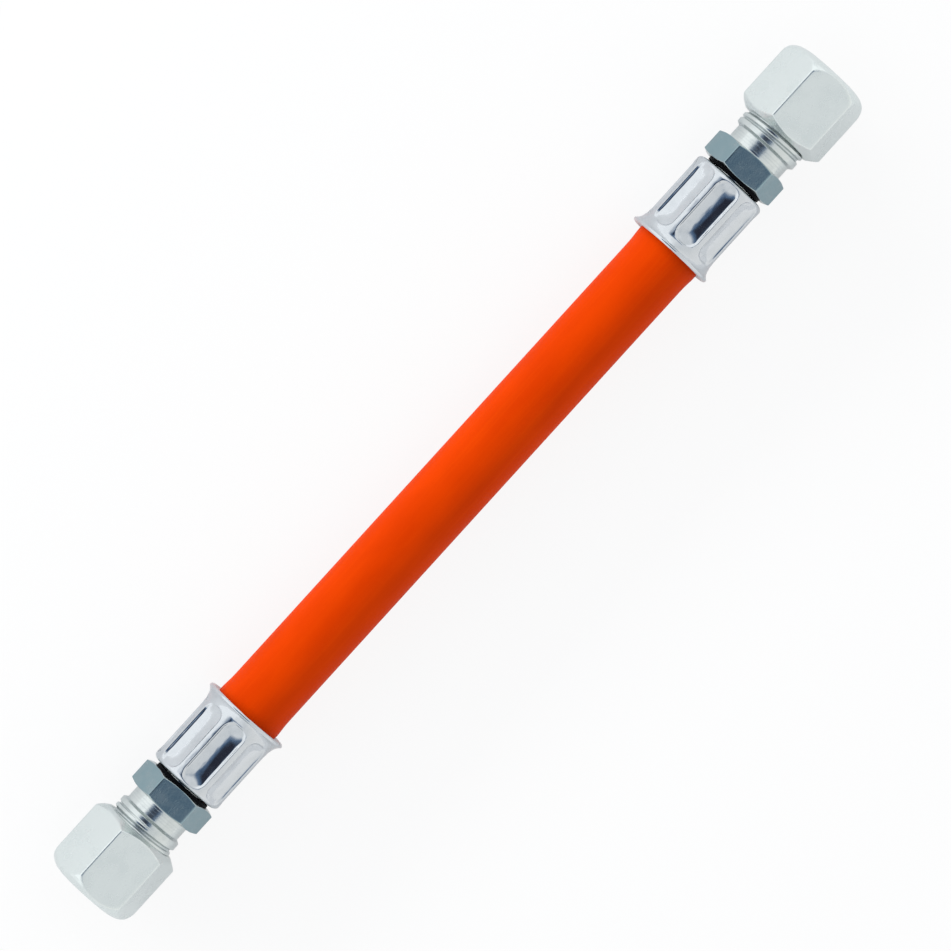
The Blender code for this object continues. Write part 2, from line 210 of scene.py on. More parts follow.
def sums(tree, operation, first, second=0.0, third=0.0, clamp=False):
    """The output of a Math node."""
    return fill(tree, "ShaderNodeMath", {0: first, 1: second, 2: third},
                operation=operation, use_clamp=clamp).outputs[0]


def blend_colours(tree, share, first, second):
    """The colour output of a Mix node."""
    return fill(tree, "ShaderNodeMix", {0: share, 6: first, 7: second}, data_type="RGBA").outputs[2]


def stretched(tree, place, scale):
    """The place scaled by three factors, for a pattern that is longer one way than another."""
    return fill(tree, "ShaderNodeVectorMath", {0: place, 1: scale}, operation="MULTIPLY").outputs[0]


def noise(tree, place, scale, detail=2.0, rough=0.5):
    """The value output of a Noise Texture, from about 0.3 to 0.7, with its scale in spots per metre."""
    return fill(tree, "ShaderNodeTexNoise", {"Vector": place, "Scale": scale, "Detail": detail,
                                             "Roughness": rough}).outputs["Fac"]


def spread(tree, value, low, high, to_low=0.0, to_high=1.0):
    """A value moved from one range to another, and kept inside it."""
    return fill(tree, "ShaderNodeMapRange", {"Value": value, "From Min": low, "From Max": high,
                                             "To Min": to_low, "To Max": to_high}).outputs[0]


def dented(tree, shader, height, strength, distance):
    """Put a Bump node on the shader's normal, on top of the one that may be there already."""
    bump = fill(tree, "ShaderNodeBump", {"Height": height, "Strength": strength, "Distance": distance})
    if shader.inputs["Normal"].is_linked:
        tree.links.new(shader.inputs["Normal"].links[0].from_socket, bump.inputs["Normal"])
    tree.links.new(bump.outputs[0], shader.inputs["Normal"])


def new_material(name):
    """An empty material with its Principled shader and the Object coordinates to build on."""
    material = bpy.data.materials.new(name)
    material.use_nodes = True
    tree = material.node_tree
    shader = tree.nodes["Principled BSDF"]
    place = tree.nodes.new("ShaderNodeTexCoord").outputs["Object"]
    return material, tree, shader, place


def barb_stations():
    """Stations of the three barbs' steep faces on the insert."""
    return INSERT_FOOT + (COLLAR_FOOT - BARB_TAIL - INSERT_FOOT) / 3 * np.arange(1, 4)


bore_corners = [(0.15, HOSE_BORE_RADIUS, 0.2, 2.5), (0.7, BORE_ON_ROOTS, 0.2, 1.0)]
for barb in barb_stations()[:2]:
    bore_corners += [(barb + TOUCH_GAP, BORE_ON_CRESTS, 0.1, 1.0),
                     (barb + 2 * TOUCH_GAP, BORE_ON_ROOTS + 0.05, 0.1, 1.0)]
bore_corners += [(barb_stations()[2] + TOUCH_GAP, BORE_ON_CRESTS, 0.1, 1.0),
                 (INSERTED, BORE_ON_CRESTS, 0.15, 0.5)]
HOSE_HALF = HALF_FREE + INSERTED
hose_corners = [(-HOSE_HALF, HOSE_RADIUS, 0.3, 0.75), (HOSE_HALF, HOSE_RADIUS, 0.3, 0.5)]
hose_corners += [(HALF_FREE + s, r, f, d) for s, r, f, d in reversed(bore_corners)]
hose_corners += [(-HALF_FREE - s, r, f, d) for s, r, f, d in bore_corners]
hose_path = trace_outline(hose_corners)
x, base = hose_path[:, :1], hose_path[:, 1:]
angle = np.arange(HOSE_COLUMNS)[None, :] * 2 * math.pi / HOSE_COLUMNS
station = np.abs(x) - HALF_FREE
swell = LIP_SWELL * np.exp(-((station + LIP_SWELL_BEFORE) / LIP_SWELL_LENGTH) ** 2)
sleeve = FERRULE_RADIUS - FERRULE_WALL - flute_press(station, angle - FLUTE_TURN) - TOUCH_GAP
sleeve = np.where(station > FLUTE_FROM, sleeve, 99)
radius = np.where(base < HOSE_RADIUS - 0.01, base, np.minimum(base + swell, sleeve))
hose = wrapped_skin("hose_rubber", x, radius, angle)

RUBBER_ORANGE = (0.63, 0.043, 0.0001, 1)
RUBBER_DEEP = (0.57, 0.036, 0.0001, 1)
RUBBER_BLOOM = (0.69, 0.068, 0.0005, 1)

orange_rubber, tree, shader, place = new_material("orange_gas_rubber")
clouds = noise(tree, stretched(tree, place, (0.35, 1, 1)), 160, 3)
draw_lines = noise(tree, stretched(tree, place, (0.02, 1, 1)), 1500, 2)
pores = noise(tree, place, 5200, 2)
specks = spread(tree, noise(tree, place, 1400, 1), 0.68, 0.76)
tint = blend_colours(tree, spread(tree, clouds, 0.35, 0.65), RUBBER_DEEP, RUBBER_ORANGE)
tint = blend_colours(tree, spread(tree, draw_lines, 0.5, 0.75, 0, 0.16), tint, RUBBER_BLOOM)
tint = blend_colours(tree, sums(tree, "MULTIPLY", specks, 0.25), tint, RUBBER_DEEP)
gloss = sums(tree, "ADD", spread(tree, clouds, 0.3, 0.7, 0.42, 0.5),
             spread(tree, draw_lines, 0.3, 0.7, 0, 0.06))
relief = sums(tree, "ADD", sums(tree, "MULTIPLY", draw_lines, 0.8), sums(tree, "MULTIPLY", pores, 0.5))
shader.inputs["Specular IOR Level"].default_value = 0.04
shader.inputs["Specular Tint"].default_value = (1, 0.75, 0.4, 1)
tree.links.new(tint, shader.inputs["Base Color"])
tree.links.new(gloss, shader.inputs["Roughness"])
dented(tree, shader, relief, 0.5, 0.00003)
hose.data.materials.append(orange_rubber)

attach(hose, "hose_assembly")
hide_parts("hose")

# Ferrules. Sleeves deep-drawn from bright plated sheet steel, 0.8 mm thick. Each is rolled over at
# the lip, and a ring of jaws presses its eight flutes on to the rubber and the barbs inside it.
FERRULE_COLUMNS = 384
FERRULE_END = 17.5
SHOULDER = 1.3
FLARE_FOOT = 2.685
FLARE_RADIUS = 2.3
FLARE_CENTRE = FERRULE_RADIUS + FLARE_RADIUS
FLARE_SWEEP = math.radians(54)
END_BORE = 4.6
MOUTH_ROUND = 0.1
LIP_ROUND = 0.26               # how far the sheet's rounded edge stands out
SIDE_CROWDING = 5              # extra columns at the flutes' steep sides, to each plain one
SIDE_CROWD_WIDTH = 0.22
FINE_STEPS = 7200


def arc_of(centre, radius, start, end, steps):
    """Points of (station, radius) round a centre, from one angle to another, from +station."""
    turn = np.linspace(start, end, steps)
    return np.stack([centre[0] + radius * np.cos(turn), centre[1] + radius * np.sin(turn)], axis=1)


def line_of(start, end, steps):
    """Points of (station, radius) along a straight line, without its two ends."""
    share = (np.arange(1, steps) / steps)[:, None]
    return np.array(start) * (1 - share) + np.array(end) * share


def ferrule_outline():
    """Outline of the sheet: flare arc, side, shoulder arc and end wall, then back inside it."""
    down = -math.pi / 2
    flare = (FLARE_FOOT, FLARE_CENTRE)
    inner = FERRULE_RADIUS - FERRULE_WALL
    outside = arc_of(flare, FLARE_RADIUS, down - FLARE_SWEEP, down, 22)
    bend = (FERRULE_END - SHOULDER, FERRULE_RADIUS - SHOULDER)
    shoulder = arc_of(bend, SHOULDER, math.pi / 2, 0, 12)
    corner = arc_of(bend, SHOULDER - FERRULE_WALL, 0, math.pi / 2, 6)
    inside = arc_of(flare, FLARE_RADIUS + FERRULE_WALL, down, down - FLARE_SWEEP, 14)
    lip_middle = (outside[0] + inside[-1]) / 2
    lip_across = (outside[0] - inside[-1]) / 2
    lip_out = np.array([-math.cos(FLARE_SWEEP), math.sin(FLARE_SWEEP)]) * LIP_ROUND
    turn = np.linspace(-math.pi / 2, math.pi / 2, 9)[1:-1, None]
    lip = lip_middle + lip_across * np.sin(turn) + lip_out * np.cos(turn)
    back = FERRULE_END - FERRULE_WALL
    return np.concatenate([
        outside, line_of(outside[-1], shoulder[0], 118), shoulder,
        line_of(shoulder[-1], (FERRULE_END, END_BORE + MOUTH_ROUND), 10),
        arc_of((FERRULE_END - MOUTH_ROUND, END_BORE + MOUTH_ROUND), MOUTH_ROUND, 0, down, 4),
        line_of((FERRULE_END - MOUTH_ROUND, END_BORE), (back, END_BORE), 3), [(back, END_BORE)],
        line_of((back, END_BORE), corner[0], 4), corner,
        line_of(corner[-1], (FLARE_FOOT, inner), 40), inside, lip])


ferrule_path = ferrule_outline()


def flute_angles(columns, turn):
    """Angles round the axis, six times closer together at the flutes' steep sides: the running
    total of a density with a bell at each side, read backwards."""
    fine = np.arange(FINE_STEPS) * 2 * math.pi / FINE_STEPS
    sideways = np.abs((fine + FLUTE_PITCH / 2) % FLUTE_PITCH - FLUTE_PITCH / 2) * FERRULE_RADIUS
    from_side = sideways - FLUTE_HALF_WIDTH + FLUTE_SIDE / 2
    total = np.cumsum(1 + SIDE_CROWDING * np.exp(-(from_side / SIDE_CROWD_WIDTH) ** 2))
    return turn + np.interp(np.arange(columns) / columns, total / total[-1], fine)[None, :]


def ferrule_skin(end, side):
    """The sheet's outline carried round the axis, each point moved inwards by the flute's depth."""
    station, base = ferrule_path[:, :1], ferrule_path[:, 1:]
    angle = flute_angles(FERRULE_COLUMNS, side * FLUTE_TURN)
    sheet = (base > FERRULE_RADIUS - FERRULE_WALL - 0.6) & (station > FLUTE_FROM)
    press = np.where(sheet, flute_press(station, angle - side * FLUTE_TURN), 0)
    return wrapped_skin(end + "_crimped_ferrule", side * (HALF_FREE + station), base - press,
                        side * angle)


def new_group(name, inputs, outputs):
    """An empty shader node group with named inputs (kind, default) and outputs (kind)."""
    group = bpy.data.node_groups.new(name, "ShaderNodeTree")
    for label, (kind, value) in inputs.items():
        socket = group.interface.new_socket(label, in_out="INPUT", socket_type="NodeSocket" + kind)
        if value is not None:
            socket.default_value = value
    for label, kind in outputs.items():
        group.interface.new_socket(label, in_out="OUTPUT", socket_type="NodeSocket" + kind)
    return group, group.nodes.new("NodeGroupInput").outputs, group.nodes.new("NodeGroupOutput").inputs


# Skin of plated steel: soft clouds in the plating, fine grain, short scratches, and plating made darker
# and duller where a mark says
plated_skin, given, result = new_group("plated_skin", {
    "Place": ("Vector", None), "Plating": ("Color", (0.7, 0.7, 0.7, 1)),
    "Stain": ("Color", (0.3, 0.3, 0.3, 1)), "Stain share": ("Float", 0.3),
    "Cloud scale": ("Float", 300.0), "Grain scale": ("Float", 4000.0),
    "Roughness": ("Float", 0.25), "Roughness spread": ("Float", 0.1), "Darker and duller": ("Float", 0.0),
}, {"Colour": "Color", "Roughness": "Float", "Height": "Float"})
tree = plated_skin
clouds = noise(tree, given["Place"], given["Cloud scale"], 4, 0.6)
grain = noise(tree, given["Place"], given["Grain scale"], 2)
scratches = spread(tree, noise(tree, stretched(tree, given["Place"], (0.12, 1, 1)), 9000, 1), 0.66, 0.74)
stains = sums(tree, "MULTIPLY", spread(tree, clouds, 0.45, 0.7), given["Stain share"])
stains = sums(tree, "MULTIPLY_ADD", given["Darker and duller"], 0.5, stains, clamp=True)
dull = sums(tree, "MULTIPLY_ADD", scratches, 0.5, spread(tree, clouds, 0.3, 0.7))
dull = sums(tree, "ADD", dull, given["Darker and duller"])
roughness = sums(tree, "MULTIPLY_ADD", dull, given["Roughness spread"], given["Roughness"])
tree.links.new(blend_colours(tree, stains, given["Plating"], given["Stain"]), result["Colour"])
tree.links.new(roughness, result["Roughness"])
tree.links.new(sums(tree, "MULTIPLY_ADD", scratches, -0.2, grain), result["Height"])


def plate(name, plating, stain, stain_share, cloud_scale, grain_scale, roughness, spread_by,
          darker_duller_mark=None):
    """A metal material on the plated skin; a mark of the mesh can say where it is darker and duller."""
    material, tree, shader, place = new_material(name)
    darker_duller = 0.0
    if darker_duller_mark:
        darker_duller = fill(tree, "ShaderNodeAttribute", {}, attribute_name=darker_duller_mark).outputs["Fac"]
    skin = fill(tree, "ShaderNodeGroup", {
        "Place": place, "Plating": plating, "Stain": stain, "Stain share": stain_share,
        "Cloud scale": cloud_scale, "Grain scale": grain_scale, "Roughness": roughness,
        "Roughness spread": spread_by, "Darker and duller": darker_duller}, node_tree=plated_skin)
    shader.inputs["Metallic"].default_value = 1
    tree.links.new(skin.outputs["Colour"], shader.inputs["Base Color"])
    tree.links.new(skin.outputs["Roughness"], shader.inputs["Roughness"])
    return material, tree, shader, place, skin.outputs["Height"]


bright_sheet, tree, shader, place, height = plate(
    "bright_drawn_sheet", plating=(0.62, 0.65, 0.675, 1), stain=(0.46, 0.49, 0.52, 1), stain_share=0.25,
    cloud_scale=500, grain_scale=5000, roughness=0.1, spread_by=0.06)
hammered = noise(tree, stretched(tree, place, (0.5, 1, 1)), 420, 2)
dented(tree, shader, hammered, 1.0, 0.00011)
dented(tree, shader, height, 0.3, 0.000006)

for end, side in (("left", -1), ("right", 1)):
    ferrule = ferrule_skin(end, side)
    ferrule.data.materials.append(bright_sheet)
    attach(ferrule, "hose_assembly")
    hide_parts(end + "_ferrule")

# Hose tails. Each is turned from one bar of hexagonal steel and zinc-plated: three barbs and a
# collar inside the ferrule, the fixed hexagon, a neck, and the stud with its M14x1.5 thread.
# Its mouth is a 24 degree cone over the socket for the pipe.
TAIL_COLUMNS = 288
INSERT_TIP = 1.0
INSERT_BORE = 2.6
ROOT_RADIUS, BARB_RADIUS = 3.4, 3.7
COLLAR_END, COLLAR_RADIUS = 16.4, 4.8
GROOVE_END, GROOVE_RADIUS = 17.8, 4.3
PIPE_STOP, SOCKET_RADIUS = 28.8, 4.05
CONE_LENGTH, CONE_MOUTH = 4.469, 5.0
PASSAGE = 3.0
OUTSIDE = 5.6                  # radius between the mouth of the cone and the neck
CORNER_CROWDING = 0.75         # how much closer the columns are at a hexagon's corners
HEX_TURN = math.radians(-9.35)
HEX_FLAT = 7.0
HEX_FACE = 7.0                 # radius that the chamfers leave on the hexagon's end faces
HEX_CHAMFER = math.tan(math.radians(22))
PAST_CORNERS = 8.7
HEX_FOOT, HEX_TOP = 18.4, 23.5
NECK = 6.05
THREAD_RADIUS = 6.95
THREAD_PITCH = 1.5
THREAD_DEPTH = 0.65
THREAD_FOOT, STUD_END = 27.1, 35.8
THREAD_START = 27.45           # a plain collar comes before it
THREAD_RUN_IN = 0.5
CREST_SHARE, SLOPE_SHARE = 0.13, 0.27   # of a pitch, for half a crest and for one slope
RING_PITCH = 0.55              # of the lathe's grooves on the neck
RING_DEPTH = 0.009


def hexagon_angles(columns, corner_turn):
    """Angles round the axis, set closer together near the six corners of a hexagon."""
    even = np.arange(columns)[None, :] * 2 * math.pi / columns
    return corner_turn + even - CORNER_CROWDING * np.sin(6 * even) / 6


def hexagon_radius(angle, flat, corner_turn, sharpness=110):
    """Radius of a hexagon with softened corners: half its width across flats, over the smooth
    maximum of the cosines of the angles to its six faces."""
    faces = corner_turn + math.radians(30) + np.arange(6) * math.pi / 3
    nearness = np.maximum(np.cos(angle[..., None] - faces), 0) ** sharpness
    return flat / nearness.sum(axis=-1) ** (1 / sharpness)


def lesser(first, second, blend=0.08):
    """The smaller of two radii, with the edge where they cross rounded over about the blend."""
    return -blend * np.logaddexp(-first / blend, -second / blend)


def thread_radius(station, angle):
    """Right-handed thread: the groove's depth follows the distance along the axis from the crest
    line, which moves on by one pitch in each turn; flats at crest and root, slopes between."""
    from_crest = np.abs((station / THREAD_PITCH - angle / (2 * math.pi) + 0.5) % 1 - 0.5)
    depth = THREAD_DEPTH * ease((station - THREAD_START) / THREAD_RUN_IN)
    return THREAD_RADIUS - depth * np.clip((from_crest - CREST_SHARE) / SLOPE_SHARE, 0, 1)


tail_corners = [(INSERT_TIP, INSERT_BORE, 0.1, 0.5), (INSERT_TIP, 3.1, 0.05, 0.3),
                (INSERT_FOOT, ROOT_RADIUS, 0.1, 2.5)]
for barb in barb_stations():
    tail_corners += [(barb, BARB_RADIUS, 0.04, 0.3), (barb, ROOT_RADIUS, 0.05, 2.5)]
chamfer_run = (PAST_CORNERS - HEX_FACE) * HEX_CHAMFER
tail_corners += [
    (COLLAR_FOOT, ROOT_RADIUS, 0.1, 0.5), (COLLAR_FOOT, COLLAR_RADIUS, 0.1, 0.4),
    (COLLAR_END, COLLAR_RADIUS, 0.1, 0.4), (COLLAR_END, GROOVE_RADIUS, 0.1, 0.5),
    (GROOVE_END, GROOVE_RADIUS, 0.1, 0.5), (GROOVE_END, NECK, 0.1, 0.2), (HEX_FOOT, NECK, 0.12, 0.15),
    (HEX_FOOT, HEX_FACE, 0.15, 0.09), (HEX_FOOT + chamfer_run, PAST_CORNERS, 0.1, 0.16),
    (HEX_TOP - chamfer_run, PAST_CORNERS, 0.1, 0.09), (HEX_TOP, HEX_FACE, 0.15, 0.15),
    (HEX_TOP, NECK, 0.25, 0.055),
    (THREAD_FOOT - 0.9, NECK, 0.2, 0.11), (THREAD_FOOT - 0.4, THREAD_RADIUS - 0.15, 0.1, 0.11),
    (STUD_END - 0.8, THREAD_RADIUS, 0.1, 0.11), (STUD_END, 6.15, 0.1, 0.3),
    (STUD_END, CONE_MOUTH, 0.08, 0.6), (STUD_END - CONE_LENGTH, SOCKET_RADIUS, 0.1, 0.6),
    (PIPE_STOP, SOCKET_RADIUS, 0.1, 0.4), (PIPE_STOP, PASSAGE, 0.1, 1.5),
    (20.95, PASSAGE, 0.1, 0.3), (20.55, INSERT_BORE, 0.1, 2.5)]
tail_path = trace_outline(tail_corners)


def tail_skin(end, side):
    """The turned outline carried round the axis; it is kept inside the hexagon at the flats and
    inside the thread's helix on the stud, and cosines to the third power groove the neck."""
    station, base = tail_path[:, :1], tail_path[:, 1:]
    turn = side * HEX_TURN
    angle = hexagon_angles(TAIL_COLUMNS, turn)
    outer = base > OUTSIDE
    flats = hexagon_radius(angle, HEX_FLAT, turn)
    on_hexagon = outer & (station >= HEX_FOOT - 0.001) & (station <= HEX_TOP + 0.001)
    on_thread = outer & (station > THREAD_FOOT - 1.0)
    radius = np.where(on_hexagon, lesser(base, flats), base)
    radius = np.where(on_thread, lesser(base, thread_radius(station, angle), 0.03), radius)
    on_neck = outer * ease((station - HEX_TOP - 0.3) / 0.2) * ease((THREAD_FOOT - 1.1 - station) / 0.2)
    rings = on_neck * (0.5 - 0.5 * np.cos(2 * math.pi * (station - HEX_TOP) / RING_PITCH)) ** 3
    radius = radius - RING_DEPTH * rings
    sunk = np.clip((THREAD_RADIUS - radius) / THREAD_DEPTH, 0, 1)
    # this mark makes the plating darker and duller in the thread's grooves and in the neck's lathe rings
    groove = np.where(on_thread, sunk * 0.7, rings * 0.35)
    # this mark covers the hexagon's drawn flats: it keeps the lathe's rings off them, makes them a
    # little rougher, and gives them a darker, bluer colour that is painted reflection
    drawn_and_painted_dark = on_hexagon * ease((radius - flats) / 0.15 + 1)
    # this mark covers the narrow gap between the ferrule's end and the hexagon, which is painted near
    # black as shade
    painted_shade_slot = (base > 4.5) & (station > FERRULE_END) & (station < HEX_FOOT + 0.02) & (radius < 6.2)
    marks = {"groove": groove, "drawn_and_painted_dark": drawn_and_painted_dark, "painted_shade_slot": painted_shade_slot}
    return wrapped_skin(end + "_turned_hose_tail", side * (HALF_FREE + station), radius, side * angle,
                        marks)


# Lines left by the lathe tool: rings round the axis, a little uneven, on sides and end faces alike
AROUND_PER_METRE = 60.0
turning_lines, given, result = new_group("turning_lines", {
    "Place": ("Vector", None), "Lines per metre": ("Float", 3000.0),
}, {"Height": "Float"})
tree = turning_lines
parts = fill(tree, "ShaderNodeSeparateXYZ", {0: given["Place"]}).outputs
square = sums(tree, "MULTIPLY_ADD", parts[2], parts[2], sums(tree, "MULTIPLY", parts[1], parts[1]))
along_path = sums(tree, "ADD", sums(tree, "ABSOLUTE", parts[0]), sums(tree, "SQRT", square))
ring_place = fill(tree, "ShaderNodeCombineXYZ", {
    0: sums(tree, "MULTIPLY", along_path, given["Lines per metre"]),
    1: sums(tree, "MULTIPLY", parts[1], AROUND_PER_METRE),
    2: sums(tree, "MULTIPLY", parts[2], AROUND_PER_METRE)}).outputs[0]
tree.links.new(noise(tree, ring_place, 1.0, 3, 0.6), result["Height"])

TURNED_COLOUR = (0.65, 0.69, 0.68, 1)
# the neck's zinc darkened and blued for the hexagon flats, a painted dark reflection
DRAWN_FLATS_PAINTED_DARK = (0.265, 0.37, 0.405, 1)
# near-black painted shade for the gap between the ferrule and the hexagon
SLOT_PAINTED_SHADE = (0.012, 0.012, 0.014, 1)

turned_zinc, tree, shader, place, height = plate(
    "turned_zinc", plating=TURNED_COLOUR, stain=(0.4, 0.45, 0.47, 1), stain_share=0.3,
    cloud_scale=420, grain_scale=3500, roughness=0.17, spread_by=0.07, darker_duller_mark="groove")
skin = shader.inputs["Base Color"].links[0].from_node
drawn_and_painted_dark = fill(tree, "ShaderNodeAttribute", {}, attribute_name="drawn_and_painted_dark").outputs["Fac"]
painted_shade_slot = fill(tree, "ShaderNodeAttribute", {}, attribute_name="painted_shade_slot").outputs["Fac"]
# the flats get the darker, bluer colour, painted reflection on the same zinc
tree.links.new(blend_colours(tree, drawn_and_painted_dark, TURNED_COLOUR, DRAWN_FLATS_PAINTED_DARK), skin.inputs["Plating"])
# the gap gets painted shade for its colour, and it is also made rougher
tint = blend_colours(tree, painted_shade_slot, skin.outputs["Colour"], SLOT_PAINTED_SHADE)
tree.links.new(tint, shader.inputs["Base Color"])
rough = sums(tree, "MULTIPLY_ADD", drawn_and_painted_dark, 0.04, skin.outputs["Roughness"])
tree.links.new(sums(tree, "MULTIPLY_ADD", painted_shade_slot, 0.5, rough), shader.inputs["Roughness"])
rings = fill(tree, "ShaderNodeGroup", {"Place": place, "Lines per metre": 1700}, node_tree=turning_lines)
turned = sums(tree, "MULTIPLY", rings.outputs["Height"], sums(tree, "SUBTRACT", 1.0, drawn_and_painted_dark))
dented(tree, shader, sums(tree, "MULTIPLY_ADD", height, 0.12, turned), 0.7, 0.0001)

for end, side in (("left", -1), ("right", 1)):
    tail = tail_skin(end, side)
    tail.data.materials.append(turned_zinc)
    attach(tail, "hose_assembly")
    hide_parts(end + "_hose_tail")

# Cutting rings. Hardened steel rings, turned and ground. The nut drives the tapered nose into the
# stud's cone, where its edge bites into the pipe; a shallow groove lets it spring.
RING_COLUMNS = 144
RING_NOSE, RING_BACK = 34.6, 41.826
RING_HOLE, RING_RADIUS = 4.1, 5.0
SPRING_GROOVE = 4.82           # radius of the groove's floor
BITE_GROOVE = 4.22             # radius of the groove behind the edge that bites
RING_CHAMFER = 0.45
ring_corners = [
    (RING_NOSE, RING_HOLE, 0.05, 0.2), (RING_NOSE, 4.438, 0.05, 0.3),
    (37.24, RING_RADIUS, 0.1, 0.3), (38.3, RING_RADIUS, 0.08, 0.2),
    (38.55, SPRING_GROOVE, 0.1, 0.2), (39.5, SPRING_GROOVE, 0.1, 0.2),
    (39.75, RING_RADIUS, 0.08, 0.3), (RING_BACK - RING_CHAMFER, RING_RADIUS, 0.08, 0.2),
    (RING_BACK, RING_RADIUS - RING_CHAMFER, 0.06, 0.2), (RING_BACK, RING_HOLE, 0.06, 0.5),
    (36.1, RING_HOLE, 0.05, 0.2), (35.95, BITE_GROOVE, 0.05, 0.2),
    (35.6, BITE_GROOVE, 0.05, 0.2), (35.45, RING_HOLE, 0.05, 0.3)]
ring_path = trace_outline(ring_corners)
ground_steel, tree, shader, place, _ = plate(
    "ground_ring_steel", plating=(0.5, 0.5, 0.51, 1), stain=(0.3, 0.29, 0.28, 1), stain_share=0.4,
    cloud_scale=600, grain_scale=5000, roughness=0.24, spread_by=0.1)
rings = fill(tree, "ShaderNodeGroup", {"Place": place, "Lines per metre": 4200}, node_tree=turning_lines)
dented(tree, shader, rings.outputs["Height"], 0.6, 0.00002)

for end, side in (("left", -1), ("right", 1)):
    angle = np.arange(RING_COLUMNS)[None, :] * 2 * math.pi / RING_COLUMNS
    ring = wrapped_skin(end + "_ground_cutting_ring", side * (HALF_FREE + ring_path[:, :1]),
                        ring_path[:, 1:], side * angle)
    ring.data.materials.append(ground_steel)
    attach(ring, end + "_ring")
    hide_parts(end + "_cutting_ring")

# Union nuts. Forged steel, 17 mm across flats, tumbled and zinc-plated, so they are satin where the
# tails are bright. The inner end has a turned chamfer, and the outer end is domed round the hole.
NUT_COLUMNS = 288
NUT_FLAT = 8.5
NUT_FOOT, NUT_TOP = 29.6, 44.8
NUT_SLOPE = math.tan(math.radians(35))
NUT_FACE = 7.52                # radius that the chamfer leaves on the inner end
NUT_PAST_CORNERS = 10.4
DOME_FOOT, DOME_LONG, DOME_WIDE = 6.1, 4.0, 3.9
NUT_HOLE, NUT_LIP_FOOT = 4.2, 42.6
RELIEF_RADIUS, RELIEF_FOOT, RELIEF_END = 7.05, 38.1, 39.75
THREAD_BORE, THREAD_IN, THREAD_OUT = 6.2, 30.65, 37.6
THREAD_PLAY = 0.08
nut_corners = [
    (NUT_FOOT, 7.2, 0.06, 0.2), (NUT_FOOT, NUT_FACE, 0.6, 0.1),
    (NUT_FOOT + (NUT_PAST_CORNERS - NUT_FACE) * NUT_SLOPE, NUT_PAST_CORNERS, 0.6, 0.3)]
nut_corners += [(NUT_TOP - DOME_LONG * (1 - math.cos(t)), DOME_FOOT + DOME_WIDE * math.sin(t), 0.3, 0.1)
                for t in np.radians(np.arange(81, 8, -12))]
nut_corners += [
    (NUT_TOP, DOME_FOOT, 0.2, 0.25), (NUT_TOP, NUT_HOLE + 0.3, 0.15, 0.2),
    (NUT_TOP - 0.3, NUT_HOLE, 0.1, 0.5), (NUT_LIP_FOOT, NUT_HOLE, 0.15, 0.4),
    (RELIEF_END, RELIEF_RADIUS, 0.25, 0.4), (RELIEF_FOOT, RELIEF_RADIUS, 0.1, 0.11),
    (THREAD_OUT, THREAD_BORE, 0.1, 0.11), (THREAD_IN, THREAD_BORE, 0.1, 0.11)]
nut_path = trace_outline(nut_corners)


def nut_skin(end, side):
    """The turned outline carried round the axis; outside it is kept within the hexagon, and inside
    it is opened out to the stud's thread with a little play."""
    station, base = nut_path[:, :1], nut_path[:, 1:]
    angle = hexagon_angles(NUT_COLUMNS, 0.0)
    flats = hexagon_radius(angle, NUT_FLAT, 0.0)
    row = np.arange(len(nut_path))[:, None]
    end_face = int(np.argmax(nut_path[:, 0] >= NUT_TOP - 1e-6))
    outside = (row < end_face) & (base > 6.9)
    inside = (row > end_face) & (base < 7.1) & (station < 39)
    radius = np.where(outside, lesser(base, flats, 0.09), base)
    helix = np.minimum(thread_radius(station, angle) + THREAD_PLAY, THREAD_RADIUS + 0.07)
    radius = np.where(inside, np.maximum(base, helix), radius)
    return wrapped_skin(end + "_forged_union_nut", side * (HALF_FREE + station), radius, side * angle)


satin_zinc, tree, shader, _, height = plate(
    "satin_zinc", plating=(0.73, 0.78, 0.77, 1), stain=(0.65, 0.71, 0.7, 1), stain_share=0.4,
    cloud_scale=260, grain_scale=2600, roughness=0.24, spread_by=0.05)
dented(tree, shader, height, 0.4, 0.00002)

for end, side in (("left", -1), ("right", 1)):
    nut = nut_skin(end, side)
    nut.data.materials.append(satin_zinc)
    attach(nut, end + "_nut")
    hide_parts(end + "_union_nut")

# Floor. The hose lies on a large sheet of plain white paper, which is bright enough to glow but
# still takes the hose's soft shadow.
FLOOR_HALF = 3
GLOW_SHARE = 0.85              # of the paper's white is its own, and the rest is lit and shaded
GLOW_IN_METAL = 0.1            # the metals mirror more of the paper's shade than the camera sees
floor_height = cad_box[0][2]
mesh = bpy.data.meshes.new("floor")
mesh.from_pydata([(x * FLOOR_HALF, y * FLOOR_HALF, floor_height)
                  for x, y in ((-1, -1), (1, -1), (1, 1), (-1, 1))], [], [(0, 1, 2, 3)])
floor = bpy.data.objects.new("floor", mesh)
bpy.context.scene.collection.objects.link(floor)
white_paper, tree, shader, place = new_material("white_paper")
fibres = noise(tree, place, 900, 3)
shader.inputs["Base Color"].default_value = (0.9, 0.9, 0.9, 1)
shader.inputs["Roughness"].default_value = 0.9
shader.inputs["Specular IOR Level"].default_value = 0.1
dented(tree, shader, fibres, 0.1, 0.00005)
ray = tree.nodes.new("ShaderNodeLightPath").outputs
seen = sums(tree, "ADD", ray["Is Camera Ray"], ray["Is Transmission Ray"])
seen = sums(tree, "MULTIPLY_ADD", ray["Is Glossy Ray"], GLOW_IN_METAL, seen, clamp=True)
glow = fill(tree, "ShaderNodeEmission", {"Color": (1, 1, 1, 1), "Strength": 1.0})
both = fill(tree, "ShaderNodeMixShader", {
    0: sums(tree, "MULTIPLY", seen, GLOW_SHARE), 1: shader.outputs[0], 2: glow.outputs[0]})
tree.links.new(both.outputs[0], tree.nodes["Material Output"].inputs["Surface"])
mesh.materials.append(white_paper)

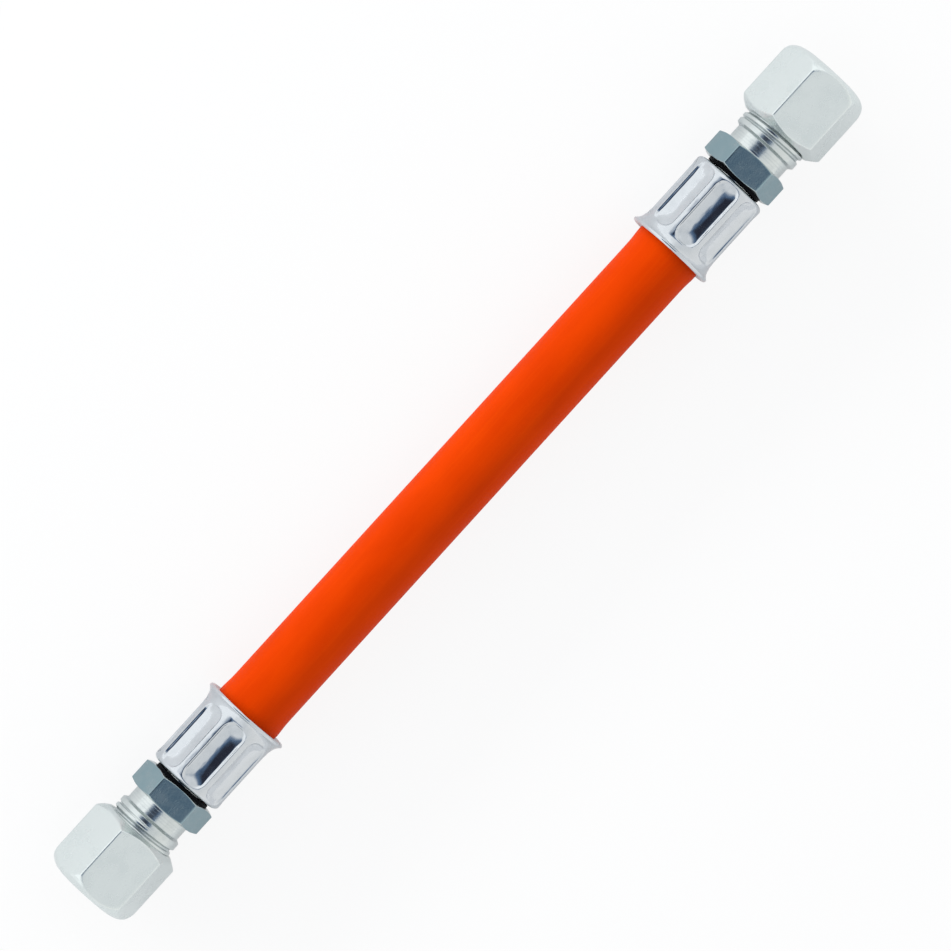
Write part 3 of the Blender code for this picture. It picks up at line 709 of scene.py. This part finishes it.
# Light. The world is a studio with pale walls, shaded by the angle round the hose's axis, from +Y
# (0) up over the top (90). The dark patch with its darker core is whoever takes the photo, and it
# reaches only a little way along the hose. A long bank of lamps stands at the side of +Y.
STUDIO = [(-180, (1.05, 1.05, 1.05)), (-30, (1.1, 1.1, 1.1)), (0, (1.22, 1.24, 1.26)),
          (43, (1.22, 1.24, 1.26)), (60, (1.05, 1.07, 1.09)), (95, (0.85, 0.87, 0.89)),
          (140, (0.98, 0.98, 0.97)), (180, (1.05, 1.05, 1.05))]
DARK_PATCH = (0.11, 0.19, 0.32, 1)
DARK_CORE = (0.025, 0.028, 0.045, 1)

world = bpy.data.worlds.new("studio")
bpy.context.scene.world = world
world.use_nodes = True
tree = world.node_tree
direction = tree.nodes.new("ShaderNodeTexCoord").outputs["Generated"]
parts = fill(tree, "ShaderNodeSeparateXYZ", {0: direction}).outputs
turn = sums(tree, "DEGREES", sums(tree, "ARCTAN2", parts[2], parts[1]))
lean = sums(tree, "DEGREES", sums(tree, "ARCSINE", sums(tree, "ABSOLUTE", parts[0])))
ramp = tree.nodes.new("ShaderNodeValToRGB")
tree.links.new(spread(tree, turn, -180, 180), ramp.inputs[0])
while len(ramp.color_ramp.elements) < len(STUDIO):
    ramp.color_ramp.elements.new(1.0)
for element, (degrees, colour) in zip(ramp.color_ramp.elements, STUDIO):
    element.position = (degrees + 180) / 360
for element, (degrees, colour) in zip(ramp.color_ramp.elements, STUDIO):
    element.color = (*colour, 1)
patch = sums(tree, "MULTIPLY", spread(tree, turn, 40, 50), spread(tree, turn, 93, 87))
patch = sums(tree, "MULTIPLY", patch, spread(tree, lean, 29, 19))
core = sums(tree, "MULTIPLY", spread(tree, turn, 48, 60), spread(tree, turn, 86, 74))
core = sums(tree, "MULTIPLY", core, spread(tree, lean, 18, 8))
sky = blend_colours(tree, patch, ramp.outputs[0], DARK_PATCH)
sky = blend_colours(tree, core, sky, DARK_CORE)
background = tree.nodes["Background"]
tree.links.new(sky, background.inputs["Color"])
background.inputs["Strength"].default_value = 1.0

bank = bpy.data.lights.new("light_bank", "AREA")
bank.shape = "RECTANGLE"
bank.size = 1.2
bank.size_y = 0.15
bank.energy = 6.6
bank_height = math.radians(18)
bank_distance = 0.9
bank_lamp = bpy.data.objects.new("light_bank", bank)
bank_lamp.location = (0, bank_distance * math.cos(bank_height), bank_distance * math.sin(bank_height))
bank_lamp.rotation_euler = (bank_height - math.pi / 2, 0, 0)
bank_lamp.visible_glossy = False        # the metals mirror the world's soft version of it
bpy.context.scene.collection.objects.link(bank_lamp)
bpy.context.scene.view_settings.view_transform = "Standard"
